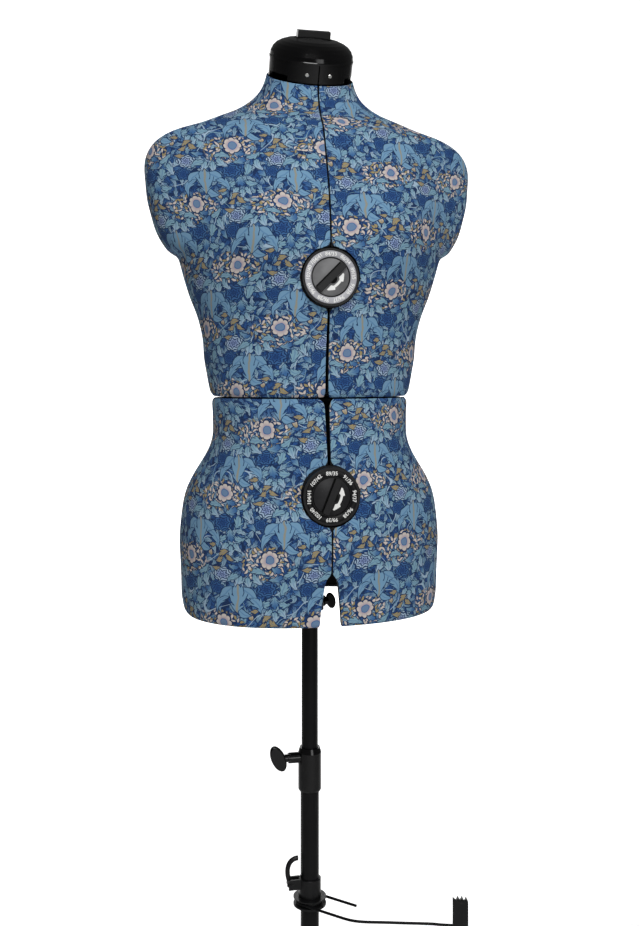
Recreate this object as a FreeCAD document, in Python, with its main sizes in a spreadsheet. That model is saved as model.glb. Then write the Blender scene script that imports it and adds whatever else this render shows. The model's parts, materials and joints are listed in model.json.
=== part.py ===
import FreeCAD, Part
import math
import os
import Sketcher
from FreeCAD import Vector

# Adjustable dress form on a four-legged stand.
# Frame: mm, +Z up, front of the torso towards -Y, pole axis on the Z axis, floor at z = 0.

os.makedirs("parts", exist_ok=True)
doc = FreeCAD.newDocument("DressForm")

# ---------------------------------------------------------------- dimensions
SIZES = {
    "hub_low": 42, "hub_high": 112, "hub_radius": 34, "hub_bore": 11.3,
    "leg_reach": 268, "leg_width": 24, "leg_thick": 11,
    "foot_radius": 21, "foot_height": 13,
    "lower_tube_radius": 11.25, "lower_tube_wall": 1.2, "lower_tube_low": 44, "lower_tube_top": 587,
    "upper_tube_radius": 10, "upper_tube_wall": 1.5, "upper_tube_low": 330, "upper_tube_top": 1376,
    "clamp_low": 542, "clamp_top": 594, "clamp_radius": 14.2, "clamp_boss_z": 582,
    "clamp_boss_reach": 25, "clamp_boss_radius": 6.5,
    "screw_radius": 2.5, "wing_thick": 6, "wing_half": 15.5,
    "sleeve_low": 762, "sleeve_radius": 17, "sleeve_top": 930, "sleeve_screw_z": 771,
    "slide_gap": 0.05,
    "dial_radius": 32.5, "dial_thick": 7, "dial_hole": 34.5, "bar_width": 7.5,
    "upper_dial_z": 1157, "lower_dial_z": 912,
    "pinion_radius": 12, "rack_height": 6, "rack_thick": 5,
    "neck_z": 1411, "neck_tilt": 25, "neck_radius": 50.8, "band_height": 21, "dome_height": 24,
    "knob_width": 40, "knob_depth": 11, "knob_height": 12,
    "hem_collar_radius": 13.6, "hem_collar_low": 413, "hem_collar_top": 435,
    "hem_ring_radius": 20, "hem_ring_low": 402.6, "hem_ring_top": 412.6,
    "wire_radius": 1.6, "jaw_width": 18, "jaw_thick": 2.4,
    "shell_thick": 3, "cover_thick": 2, "cover_gap": 0.15,
    "waist_z": 1021, "hem_z": 765,
}
sheet = doc.addObject("Spreadsheet::Sheet", "Sizes")
for row, (name, value) in enumerate(SIZES.items(), start=1):
    sheet.set("A%d" % row, name)
    sheet.set("B%d" % row, str(value))
    sheet.setAlias("B%d" % row, name)
doc.recompute()


def size(name):
    return float(SIZES[name])


NODES = []


def keep(obj, label):
    obj.Label = label
    NODES.append(obj)
    return obj


def bind(obj, **terms):
    for prop, term in terms.items():
        obj.setExpression(prop.replace("__", "."), term)
    return obj


def ref(term):
    """Turn plain alias names into references to the sheet."""
    out = []
    for word in term.replace("(", " ( ").replace(")", " ) ").split():
        out.append("Sizes." + word if word in SIZES else word)
    return " ".join(out)


# ---------------------------------------------------------------- building helpers
def body_new(label):
    body = doc.addObject("PartDesign::Body", label)
    return keep(body, label)


def sketch_on(body, role, name):
    plane = [o for o in body.Origin.OriginFeatures if o.Role == role][0]
    sk = body.newObject("Sketcher::SketchObject", name)
    sk.AttachmentSupport = (plane, [""])
    sk.MapMode = "FlatFace"
    return sk


def polygon(sk, points):
    count = len(points)
    for k in range(count):
        a = Vector(points[k][0], points[k][1], 0)
        b = Vector(points[(k + 1) % count][0], points[(k + 1) % count][1], 0)
        sk.addGeometry(Part.LineSegment(a, b), False)
    for k in range(count):
        sk.addConstraint(Sketcher.Constraint("Coincident", k, 2, (k + 1) % count, 1))


def fix_x(sk, line, end, term):
    """Tie a sketch point's horizontal distance from the origin to the sheet."""
    index = sk.addConstraint(Sketcher.Constraint("DistanceX", -1, 1, line, end, sk.getPoint(line, end).x))
    sk.setExpression("Constraints[%d]" % index, ref(term))


def fix_y(sk, line, end, term):
    index = sk.addConstraint(Sketcher.Constraint("DistanceY", -1, 1, line, end, sk.getPoint(line, end).y))
    sk.setExpression("Constraints[%d]" % index, ref(term))


def revolve(label, profile, ties=()):
    """Revolve a closed (radius, height) outline about the Z axis."""
    body = body_new(label)
    sk = sketch_on(body, "XZ_Plane", label + "_outline")
    polygon(sk, profile)
    for point, axis, term in ties:
        (fix_x if axis == "r" else fix_y)(sk, point, 1, term)
    rev = body.newObject("PartDesign::Revolution", label + "_turn")
    rev.Profile = sk
    rev.ReferenceAxis = (sk, ["V_Axis"])
    rev.Angle = 360
    doc.recompute()
    return body


def box(name, length, width, height, at=()):
    """Part box; sizes and corner are sheet expressions or numbers."""
    obj = doc.addObject("Part::Box", name)
    bind(obj, Length=ref(str(length)), Width=ref(str(width)), Height=ref(str(height)))
    for axis, term in zip("xyz", at):
        obj.setExpression("Placement.Base." + axis, ref(str(term)))
    return obj


def cylinder(name, radius, height, at=(), along="z"):
    obj = doc.addObject("Part::Cylinder", name)
    bind(obj, Radius=ref(str(radius)), Height=ref(str(height)))
    turn = {"z": (Vector(0, 0, 1), 0), "x": (Vector(0, 1, 0), 90), "-x": (Vector(0, 1, 0), -90),
            "y": (Vector(1, 0, 0), -90), "-y": (Vector(1, 0, 0), 90)}[along]
    obj.Placement = FreeCAD.Placement(Vector(0, 0, 0), FreeCAD.Rotation(turn[0], turn[1]))
    for axis, term in zip("xyz", at):
        obj.setExpression("Placement.Base." + axis, ref(str(term)))
    return obj


def fuse(name, parts):
    obj = doc.addObject("Part::MultiFuse", name)
    obj.Shapes = parts
    return obj


def cut(name, base, tool):
    obj = doc.addObject("Part::Cut", name)
    obj.Base = base
    obj.Tool = tool
    return obj


def sweep(name, radius, path_points, wire=None):
    """Round bar along a smooth path."""
    path = doc.addObject("Part::Feature", name + "_path")
    path.Shape = wire if wire else smooth_wire(path_points)
    first = path.Shape.Edges[0]
    start = first.valueAt(first.FirstParameter)
    heading = first.tangentAt(first.FirstParameter)
    ring = doc.addObject("Part::Circle", name + "_ring")
    ring.setExpression("Radius", ref(str(radius)))
    ring.Placement = FreeCAD.Placement(start, FreeCAD.Rotation(Vector(0, 0, 1), heading))
    obj = doc.addObject("Part::Sweep", name)
    obj.Sections = [ring]
    obj.Spine = (path, ["Edge%d" % (k + 1) for k in range(len(path.Shape.Edges))])
    obj.Solid = True
    obj.Frenet = False
    obj.Transition = 2
    return obj


def smooth_wire(points):
    curve = Part.BSplineCurve()
    curve.interpolate([Vector(*p) for p in points])
    return Part.Wire([curve.toShape()])


def ease(low, high, value):
    """Smooth step from 0 at low to 1 at high."""
    part = min(1.0, max(0.0, (value - low) / (high - low)))
    return part * part * (3 - 2 * part)


def from_table(table, value):
    """Monotone cubic reading of a (position, size) table listed upwards."""
    rows = table
    if value <= rows[0][0]:
        return rows[0][1]
    if value >= rows[-1][0]:
        return rows[-1][1]
    k = max(i for i in range(len(rows)) if rows[i][0] <= value)
    k = min(k, len(rows) - 2)

    def rise(i):
        return (rows[i + 1][1] - rows[i][1]) / (rows[i + 1][0] - rows[i][0])

    def slope(i):
        if i == 0:
            return rise(0)
        if i == len(rows) - 1:
            return rise(len(rows) - 2)
        a, b = rise(i - 1), rise(i)
        return 0.0 if a * b <= 0 else 2 * a * b / (a + b)

    span = rows[k + 1][0] - rows[k][0]
    part = (value - rows[k][0]) / span
    a, b = rows[k][1], rows[k + 1][1]
    da, db = slope(k) * span, slope(k + 1) * span
    p2, p3 = part * part, part ** 3
    return (2 * p3 - 3 * p2 + 1) * a + (p3 - 2 * p2 + part) * da + (3 * p2 - 2 * p3) * b + (p3 - p2) * db


# ================================================================ stand
revolve("base_hub", [(size("hub_bore"), 42), (20, 42), (30, 52), (34, 62), (34, 84), (27, 96), (17, 106),
                     (16, 112), (size("hub_bore"), 112)],
        [(0, "r", "hub_bore"), (3, "r", "hub_radius"), (4, "r", "hub_radius"), (0, "z", "hub_low")])

LEG_SIDES = {"left": 0, "back": 90, "right": 180, "front": 270}


def turned(obj, angle):
    """Stand a finished piece round the pole by an angle."""
    obj.Placement = FreeCAD.Placement(Vector(0, 0, 0), FreeCAD.Rotation(Vector(0, 0, 1), angle))
    return obj


for side, angle in LEG_SIDES.items():
    # A flat-oval moulded leg: arched side outline, extruded across, edges rounded.
    leg = body_new("leg_" + side)
    sk = sketch_on(leg, "XZ_Plane", "leg_outline_" + side)
    top = [(34.3, 84), (70, 86), (120, 79), (170, 65), (215, 47), (250, 31), (size("leg_reach"), 24)]
    low = [(size("leg_reach"), 13), (238, 13), (205, 30), (166, 47), (120, 60), (74, 66), (34.3, 64)]
    polygon(sk, top + low)
    fix_x(sk, 6, 1, "leg_reach")
    pad = leg.newObject("PartDesign::Pad", "leg_pad_" + side)
    pad.Profile = sk
    pad.SideType = "Symmetric"
    pad.setExpression("Length", "Sizes.leg_width")
    doc.recompute()
    rim = leg.newObject("PartDesign::Fillet", "leg_round_" + side)
    long_edges = []
    for index, edge in enumerate(pad.Shape.Edges, start=1):
        lows = [v.Point.y for v in edge.Vertexes]
        ends = [v.Point.x for v in edge.Vertexes]
        if abs(lows[0] - lows[1]) < 0.01 and min(ends) > 34.2 and abs(ends[0] - ends[1]) > 0.5:
            long_edges.append("Edge%d" % index)
    rim.Base = (pad, long_edges)
    rim.Radius = 4
    leg.Tip = rim
    turned(leg, angle)
    foot = revolve("foot_" + side, [(0, 0), (18, 0), (size("foot_radius"), 2.5), (size("foot_radius"), 9),
                                    (18, size("foot_height")), (0, size("foot_height"))],
                   [(2, "r", "foot_radius"), (3, "r", "foot_radius"), (4, "z", "foot_height")])
    reach = size("leg_reach") - 16
    foot.Placement = FreeCAD.Placement(Vector(reach * math.cos(math.radians(angle)),
                                              reach * math.sin(math.radians(angle)), 0), FreeCAD.Rotation())

lower_skin = cylinder("lower_tube_skin", "lower_tube_radius", "lower_tube_top - lower_tube_low",
                      (0, 0, "lower_tube_low"))
lower_hollow = cylinder("lower_tube_hollow", "lower_tube_radius - lower_tube_wall",
                        "lower_tube_top - lower_tube_low + 2", (0, 0, "lower_tube_low - 1"))
screw_way = cylinder("lower_tube_screw_way", "screw_radius + slide_gap", 6, ("0 - 8", 0, "clamp_boss_z"), "-x")
keep(cut("lower_tube", lower_skin, fuse("lower_tube_holes", [lower_hollow, screw_way])), "lower_tube")

# Height clamp: round collar on the lower tube, ridge on top, boss towards -X for the wing screw.
clamp_out = revolve("clamp_turned", [(11.27, 542), (13.4, 542), (14.2, 544), (14.2, 588), (12.4, 594), (10.06, 594),
                                     (10.06, 588), (11.27, 588)],
                    [(0, "z", "clamp_low"), (4, "z", "clamp_top"), (3, "r", "clamp_radius"),
                     (2, "r", "clamp_radius")])
NODES.pop()
boss = cylinder("clamp_boss", "clamp_boss_radius", "clamp_boss_reach - 12", ("0 - 12", 0, "clamp_boss_z"), "-x")
clamp_solid = fuse("clamp_solid", [clamp_out, boss])
clamp_tap = cylinder("clamp_tap", "screw_radius + slide_gap", 30, ("0 - 10.2", 0, "clamp_boss_z"), "-x")
keep(cut("height_clamp", clamp_solid, clamp_tap), "height_clamp")


def wing_screw(label, z_term, side, start, washer_at, wing_from, wing_to, half_long, lean, thick):
    """Thumb screw along X: shank, washer, neck and a flat leaf-shaped wing leaning by an angle."""
    flip = "-x" if side < 0 else "x"
    sign = "0 - " if side < 0 else "0 + "
    shank = cylinder(label + "_shank", "screw_radius", "%g" % (wing_from + 3 - start),
                     (sign + "%g" % start, 0, z_term), flip)
    washer = cylinder(label + "_washer", 6.4, 1.6, (sign + "%g" % washer_at, 0, z_term), flip)
    neck = cylinder(label + "_neck", 4.6, "%g" % (wing_from + 3 - washer_at - 1.6),
                    (sign + "%g" % (washer_at + 1.6), 0, z_term), flip)
    wing = body_new(label + "_wing")
    NODES.pop()
    sk = sketch_on(wing, "XZ_Plane", label + "_oval")
    middle = Vector(side * (wing_from + wing_to) / 2.0, size(z_term), 0)
    along = Vector(math.sin(math.radians(lean)) * side, math.cos(math.radians(lean)), 0)
    half_wide = (wing_to - wing_from) / 2.0 - half_long * abs(math.sin(math.radians(lean))) * 0.35
    wide = Vector(along.y, -along.x, 0)
    sk.addGeometry(Part.Ellipse(middle + along * half_long, middle + wide * half_wide, middle), False)
    pad = wing.newObject("PartDesign::Pad", label + "_pad")
    pad.Profile = sk
    pad.SideType = "Symmetric"
    pad.Length = thick
    doc.recompute()
    rim = wing.newObject("PartDesign::Fillet", label + "_rim")
    rim.Base = (pad, ["Edge%d" % (k + 1) for k, e in enumerate(pad.Shape.Edges) if e.Length > 30])
    rim.Radius = thick * 0.38
    wing.Tip = rim
    return keep(fuse(label, [shank, washer, neck, wing]), label)


wing_screw("height_screw", "clamp_boss_z", -1, 10.15, 25.4, 28, 50, 16.5, 24, 6)

# ================================================================ mast
keep(cut("upper_tube", cylinder("upper_tube_skin", "upper_tube_radius", "upper_tube_top - upper_tube_low",
                                (0, 0, "upper_tube_low")),
         cylinder("upper_tube_hole", "upper_tube_radius - upper_tube_wall",
                  "upper_tube_top - upper_tube_low + 2", (0, 0, "upper_tube_low - 1"))), "upper_tube")


def spider(label, bottom, top, radius, arm_zs, arm_half, extra=()):
    """Sleeve on the pole with square guide bars out to the front and the back."""
    parts = [cylinder(label + "_sleeve", radius, "%s - ( %s )" % (top, bottom), (0, 0, bottom))]
    for k, level in enumerate(arm_zs):
        parts.append(box("%s_bar_%d" % (label, k), 12, "%g" % (2 * arm_half), 8,
                         ("0 - 6", "0 - %g" % arm_half, "%s - 4" % level)))
    parts += list(extra)
    bore = cylinder(label + "_bore", "upper_tube_radius + slide_gap", "%s - ( %s ) + 4" % (top, bottom),
                    (0, 0, "%s - 2" % bottom))
    return fuse(label + "_solid", parts), bore


lower_solid, lower_bore = spider("lower_spider", "sleeve_low", "sleeve_top", 17, ["lower_dial_z"], 68)
lower_cut = cut("lower_spider_bored", lower_solid, lower_bore)
lower_tap = cylinder("lower_spider_tap", "screw_radius + slide_gap", 30, (5, 0, "sleeve_screw_z"), "x")
keep(cut("lower_spider", lower_cut, lower_tap), "lower_spider")
wing_screw("lower_support_screw", "sleeve_screw_z", 1, 10.15, 17.4, 19.5, 33, 9.8, -14, 4.5)

# ================================================================ torso surface
# Half width of the torso over the fabric, by height of the section's middle.
HALF_WIDTH = [(765, 150.6), (775, 153.4), (786, 155), (808, 155.6), (830, 156.6), (852, 157.4), (874, 155.8),
              (896, 153), (907, 150.3), (918, 146.2), (929, 140.2), (940, 133.4), (951, 126.6), (962, 121.4),
              (973, 118.2), (995, 117.8), (1010, 118.6), (1021, 119.8), (1036, 123), (1050, 125.6),
              (1072, 129), (1093, 130.2), (1104, 132.8), (1115, 135.8), (1126, 139.6), (1137, 144),
              (1148, 148.4), (1159, 151.2), (1170, 154.4), (1186, 158.2), (1214, 162), (1258, 166), (1302, 167),
              (1313, 163), (1324, 157), (1335, 147), (1348, 124.6), (1356, 112.4), (1363, 97.4), (1370, 82),
              (1378, 71), (1385, 63.2), (1392, 58.8), (1400, 55.4), (1411, 52.4)]
# Extra half width of the arm stumps over that smooth body.
STUMP = [(1184, 0), (1190, 2.5), (1192.5, 7), (1197, 12.6), (1204, 16.8), (1212, 20.8), (1222, 24), (1236, 26.6),
         (1258, 30.2), (1280, 31.6), (1302, 32.2), (1313, 31), (1324, 27.8), (1335, 19.6), (1348, 6.8),
         (1356, 2.4), (1363, 0)]
FRONT_DEPTH = [(765, 111.5), (800, 113), (850, 115), (900, 112), (950, 104), (1000, 95.5), (1021, 92.5),
               (1050, 93), (1100, 99), (1150, 107), (1200, 112), (1250, 105), (1300, 88), (1335, 74),
               (1356, 63), (1370, 57), (1385, 52), (1400, 48.6), (1411, 47.6)]
BACK_DEPTH = [(765, 115), (820, 125), (860, 128), (900, 122), (950, 107), (1000, 90), (1021, 86),
              (1080, 89), (1150, 100), (1220, 112), (1280, 112), (1330, 98), (1356, 82), (1370, 71),
              (1385, 58), (1400, 50), (1411, 47.6)]
ROUNDNESS = [(765, 2.25), (900, 2.2), (1021, 2.15), (1150, 2.25), (1250, 2.5), (1320, 2.4), (1370, 2.1),
             (1411, 2.0)]
NECK_SLOPE = math.tan(math.radians(size("neck_tilt")))
RIM_ROUND = {("lower", "top"): 9.0, ("upper", "low"): 9.0, ("lower", "low"): 5.0, ("upper", "top"): 0.0}
BOTTOM = {"lower": size("hem_z"), "upper": size("waist_z") + 0.6}
TOP = {"lower": size("waist_z") - 0.6, "upper": size("neck_z") - 1.6}


def rim_pull(level, z):
    """How far the surface turns inwards near a rounded rim."""
    pull = 0.0
    for end, edge in (("low", BOTTOM[level]), ("top", TOP[level])):
        radius = RIM_ROUND[(level, end)]
        away = abs(z - edge) + 0.1 * radius
        if radius and away < radius:
            pull += 0.8 * (radius - math.sqrt(radius * radius - (radius - away) ** 2))
    return pull


def torso_point(phi, z, level="", pull_rim=True):
    """Point on the fabric's outside; phi runs 0 at the front, 90 degrees at the +X side, 180 at the back."""
    wide = from_table(HALF_WIDTH, z)
    front = phi < math.pi / 2
    deep = from_table(FRONT_DEPTH if front else BACK_DEPTH, z)
    power = from_table(ROUNDNESS, z)
    across, along = abs(math.sin(phi)), abs(math.cos(phi))
    reach = (across ** power + along ** power) ** (-1.0 / power)
    x = wide * reach * math.sin(phi)
    y = -deep * reach * math.cos(phi)
    # arm stumps: a bulge round the side point
    x += from_table(STUMP, z) * math.copysign(1, x) * math.exp(-((y / 52.0) ** 4)) * ease(0.55, 0.95, across)
    if front:
        y -= 17 * math.exp(-(((abs(x) - 74) / 42.0) ** 2) - ((z - 1207) / 50.0) ** 2)
        y -= 5 * math.exp(-((x / 70.0) ** 2) - ((z - 860) / 55.0) ** 2)
    else:
        y += 9 * math.exp(-(((abs(x) - 62) / 40.0) ** 2) - ((z - 866) / 44.0) ** 2)
        y += 4 * math.exp(-(((abs(x) - 72) / 38.0) ** 2) - ((z - 1255) / 60.0) ** 2)
    tilt = NECK_SLOPE * ease(1325, 1411, z)
    if pull_rim and level:
        pull = rim_pull(level, z)
        length = math.hypot(x, y)
        x -= pull * x / length
        y -= pull * y / length
    return Vector(x, y, z + tilt * y)


def torso_normal(phi, z, level):
    step = 0.004
    low, high = max(z - 0.7, BOTTOM[level]), min(z + 0.7, TOP[level])
    a = torso_point(phi + step, z, level) - torso_point(phi - step, z, level)
    b = torso_point(phi, high, level) - torso_point(phi, low, level)
    normal = a.cross(b)
    normal.normalize()
    here = torso_point(phi, z, level)
    if normal.dot(Vector(here.x, here.y, 0)) < 0:
        normal = normal * -1
    return normal


FRONT_GAP = {
    "upper": [(1021, 3.4), (1024, 2.4), (1028, 1.6), (1060, 1.4), (1110, 1.1), (1200, 0.6), (1411, 0.6)],
    "lower": [(765, 12.5), (790, 10.2), (805, 8.4), (814, 7.1), (819, 5.4), (822.5, 3.2), (825.5, 1.0),
              (830, 0.6), (870, 0.6), (950, 1.6), (1004, 2.3), (1012, 2.6), (1016, 4.0), (1018.4, 5.8),
              (1020.4, 8.4)],
}
BACK_GAP = {"upper": [(1021, 2.4), (1026, 1.0), (1411, 0.6)], "lower": [(765, 1.0), (1010, 1.0), (1020.4, 3.4)]}
SIDE_GAP = {"upper": [(1021, 2.75), (1026, 1.35), (1411, 0.65)],
            "lower": [(765, 1.6), (780, 0.7), (1010, 0.7), (1020.4, 3.0)]}
LEVELS_Z = {
    "lower": [765, 766, 768.5, 775, 786, 797, 805, 811, 815, 819, 822.5, 825.5, 829, 836, 850, 868, 888, 908,
              926, 942, 958, 974, 990, 1002, 1010, 1014, 1017, 1019, 1020.4],
    "upper": [1409.4, 1401, 1391, 1382, 1374, 1367, 1360, 1353, 1345, 1335, 1324, 1311, 1296, 1276, 1256, 1236,
              1220, 1209, 1201, 1196, 1192.5, 1189, 1185, 1180, 1172, 1156, 1140, 1122, 1104, 1086, 1068, 1052, 1040, 1032,
              1028, 1025, 1023, 1021.6],
}
COLUMNS = 17


def panel_grid(level, face, depth):
    """Points of the +X panel's surface, set in by depth along the normal."""
    rows = []
    for z in LEVELS_Z[level]:
        wide = from_table(HALF_WIDTH, z)
        deep = from_table(FRONT_DEPTH if face == "front" else BACK_DEPTH, z)
        seam = from_table(FRONT_GAP[level] if face == "front" else BACK_GAP[level], z)
        side = from_table(SIDE_GAP[level], z)
        start, stop = math.asin(seam / wide), math.pi / 2 - math.asin(side / deep)
        if face == "back":
            start, stop = math.pi - start, math.pi - stop
        row = []
        for k in range(COLUMNS):
            phi = start + (stop - start) * k / (COLUMNS - 1.0)
            point = torso_point(phi, z, level)
            if depth:
                point = point - torso_normal(phi, z, level) * depth
            row.append(point)
        rows.append(row)
    return rows


def skin(rows):
    surface = Part.BSplineSurface()
    surface.interpolate(rows)
    return surface


def slab(rows_out, rows_in):
    """Closed solid between two surfaces with the same outline."""
    outer, inner = skin(rows_out), skin(rows_in)
    faces = [outer.toShape(), inner.toShape()]
    u0, u1, v0, v1 = outer.bounds()
    a0, a1, b0, b1 = inner.bounds()
    pairs = [(outer.uIso(u0), inner.uIso(a0)), (outer.uIso(u1), inner.uIso(a1)),
             (outer.vIso(v0), inner.vIso(b0)), (outer.vIso(v1), inner.vIso(b1))]
    for one, two in pairs:
        faces.append(Part.makeRuledSurface(one.toShape(), two.toShape()))
    shell = Part.makeShell(faces)
    shell.sewShape()
    solid = Part.makeSolid(shell)
    solid.fix(0.01, 0.01, 0.01)
    if solid.Volume < 0:
        solid.reverse()
    return solid


LAYER = {"cover": (0.0, size("cover_thick")),
         "shell": (size("cover_thick") + size("cover_gap"),
                   size("cover_thick") + size("cover_gap") + size("shell_thick"))}
DIAL_Z = {"upper": "upper_dial_z", "lower": "lower_dial_z"}

for level in ("upper", "lower"):
    hole = cylinder("dial_hole_" + level, "dial_hole", 340, (0, "0 - 170", DIAL_Z[level]), "y")
    for face in ("front", "back"):
        for layer, (near, far) in LAYER.items():
            blank = doc.addObject("Part::Feature", "blank_%s_%s_%s" % (level, face, layer))
            blank.Shape = slab(panel_grid(level, face, near), panel_grid(level, face, far))
            other = doc.addObject("Part::Mirroring", "mirror_%s_%s_%s" % (level, face, layer))
            other.Source = blank
            other.Normal = Vector(1, 0, 0)
            for side, source in (("left", blank), ("right", other)):
                label = "%s_%s_%s_%s" % (level, face, side, layer)
                keep(cut(label, source, hole), label)


# ================================================================ width adjusters
def toothed_rack(name, length, tooth_from, tooth_to, z_low, z_high, y_low, thick, tooth_dir):
    """Bar along X with teeth on its upper or lower side, teeth centred on x = 0."""
    pitch = 2 * math.pi * size("pinion_radius") / 12
    teeth = []
    count = int(max(abs(tooth_from), abs(tooth_to)) // pitch) + 1
    edge = z_low if tooth_dir < 0 else z_high
    for k in range(-count, count + 1):
        mid = k * pitch
        if tooth_from + 2 <= mid <= tooth_to - 2:
            base = [(mid - 1.9, edge - 0.3 * tooth_dir), (mid + 1.9, edge - 0.3 * tooth_dir),
                    (mid + 0.7, edge + 2.9 * tooth_dir), (mid - 0.7, edge + 2.9 * tooth_dir)]
            wire = Part.makePolygon([Vector(x, y_low, z) for x, z in base + base[:1]])
            teeth.append(Part.Face(wire).extrude(Vector(0, thick, 0)))
    bar = Part.makeBox(length[1] - length[0], thick, z_high - z_low, Vector(length[0], y_low, z_low))
    row = doc.addObject("Part::Feature", name)
    row.Shape = bar.multiFuse(teeth).removeSplitter()
    return row


def pinion(name, y_low, thick, z):
    """Twelve-tooth pinion on the Y axis; tooth gaps straight up and down."""
    outline = []
    for k in range(12):
        mid = math.radians(15 + 30 * k)
        for radius, half in ((10.1, 8.6), (12.0, 5.4), (14.4, 2.6)):
            outline.append((radius, mid - math.radians(half)))
        for radius, half in ((14.4, 2.6), (12.0, 5.4), (10.1, 8.6)):
            outline.append((radius, mid + math.radians(half)))
    points = [Vector(r * math.cos(a), y_low, z + r * math.sin(a)) for r, a in outline]
    wheel = doc.addObject("Part::Feature", name)
    wheel.Shape = Part.Face(Part.makePolygon(points + points[:1])).extrude(Vector(0, thick, 0))
    return wheel


BAR_SLANT = {"upper": 45, "lower": 68}
for level in ("upper", "lower"):
    z_term = DIAL_Z[level]
    z0 = size(z_term)
    for face in ("front", "back"):
        out = -1 if face == "front" else 1
        tag = level + "_" + face
        phi0 = 0.0 if face == "front" else math.pi
        deep = abs(torso_point(phi0, z0).y)
        inner = []
        for xs in (0, 15, 30, 42, 54):
            for dz in (-24, -12, 0, 12, 24):
                wide = from_table(HALF_WIDTH, z0 + dz)
                phi = math.asin(min(1.0, xs / wide))
                phi = phi if face == "front" else math.pi - phi
                inner.append(abs(torso_point(phi, z0 + dz).y) - LAYER["shell"][1])
        rack_front = min(inner) - 0.9

        def span(near, far):
            """Y start of a slice between two distances from the pole."""
            return min(out * near, out * far)

        turn = "-y" if face == "front" else "y"
        # carriage: slotted housing behind the shells with a hollow guide arm to the pole
        plate_far, plate_near = rack_front - 5.6, rack_front - 10.1
        plate = box(tag + "_plate", 60, 4.5, 46, ("0 - 30", span(plate_near, plate_far), z_term + " - 23"))
        rails = [box(tag + "_rail_" + name, 48, "%g" % (deep - 9.5 - plate_far), 4.4,
                     ("0 - 24", span(plate_far, deep - 9.5), z_term + low))
                 for name, low in (("high", " + 18.6"), ("low", " - 23"))]
        bezel = cylinder(tag + "_bezel", 33.8, 5.3, (0, out * (deep - 9.5), z_term), turn)
        arm = box(tag + "_arm", 18, "%g" % (plate_near - 34), 14, ("0 - 9", span(34, plate_near), z_term + " - 7"))
        solid = fuse(tag + "_housing", [plate] + rails + [bezel, arm])
        arm_hole = box(tag + "_arm_hole", 12.1, "%g" % (plate_near - 34 + 1), 8.1,
                       ("0 - 6.05", span(33, plate_near), z_term + " - 4.05"))
        shaft_hole = cylinder(tag + "_shaft_hole", 5.05, 60, (0, out * (plate_near - 1), z_term), turn)
        keep(cut(tag + "_carriage", solid, fuse(tag + "_holes", [arm_hole, shaft_hole])), tag + "_carriage")

        # dial: stepped disc, sunken middle with a raised grip bar, shaft and pinion
        disc = cylinder(tag + "_disc", "dial_radius", "dial_thick", (0, out * (deep - 3.5), z_term), turn)
        sink = cylinder(tag + "_sink", 22, 4, (0, out * (deep + 1.0), z_term), turn)
        dished = cut(tag + "_dished", disc, sink)
        bar = box(tag + "_grip", 41, 7.4, "bar_width")
        slant = FreeCAD.Rotation(Vector(0, 1, 0), BAR_SLANT[level] * out)
        middle = slant.multVec(Vector(20.5, 3.7, size("bar_width") / 2))
        bar.Placement = FreeCAD.Placement(Vector(0, out * (deep + 4.1), z0) - middle, slant)
        shaft = cylinder(tag + "_shaft", 5, "%g" % (deep - 3.0 - plate_near), (0, out * plate_near, z_term), turn)
        wheel = pinion(tag + "_pinion", span(rack_front - 5, rack_front), 5, z0)
        keep(fuse(tag + "_dial", [dished, bar, shaft, wheel]), tag + "_dial")

        # one rack per panel: above the pinion for the +X panel, below it for the -X panel
        for side, hand in (("left", 1), ("right", -1)):
            ends = sorted((-26 * hand, 50 * hand))
            low, high = (z0 + 14.9, z0 + 18.5) if hand > 0 else (z0 - 18.5, z0 - 14.9)
            row = toothed_rack("%s_%s_bar" % (tag, side), ends, ends[0], ends[1], low, high,
                               span(rack_front - 5, rack_front), 5, -hand)
            pad_z = z0 + 16.7 * hand
            wide = from_table(HALF_WIDTH, pad_z)
            phi = math.asin(45.0 / wide)
            phi = phi if face == "front" else math.pi - phi
            meet = abs(torso_point(phi, pad_z).y) - LAYER["shell"][1] + 0.9
            pad = cylinder("%s_%s_pad" % (tag, side), 4.5, "%g" % (meet - rack_front + 4),
                           (45 * hand, out * (rack_front - 4), "%g" % pad_z), turn)
            keep(fuse("%s_%s_rack" % (tag, side), [row, pad]), "%s_%s_rack" % (tag, side))

# ================================================================ upper frame and neck
tilt_turn = FreeCAD.Rotation(Vector(1, 0, 0), size("neck_tilt"))


def at_neck(obj, lift=0.0):
    """Stand an upright piece in the tilted neck frame."""
    shift = tilt_turn.multVec(Vector(0, 0, lift))
    obj.Placement = FreeCAD.Placement(Vector(0, 0, size("neck_z")) + shift, tilt_turn)
    return obj


neck_plate = at_neck(cylinder("neck_plate", 47.2, 4), 5)
neck_post = at_neck(cylinder("neck_post", 12, 24), -16)
upper_solid, upper_bore = spider("upper_spider", "upper_dial_z - 27", "1404", 15, ["upper_dial_z"], 68,
                                 [neck_plate, neck_post])
keep(cut("upper_spider", upper_solid, cylinder("upper_spider_hole", "upper_tube_radius + slide_gap", 258,
                                               (0, 0, 1128))), "upper_spider")

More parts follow.
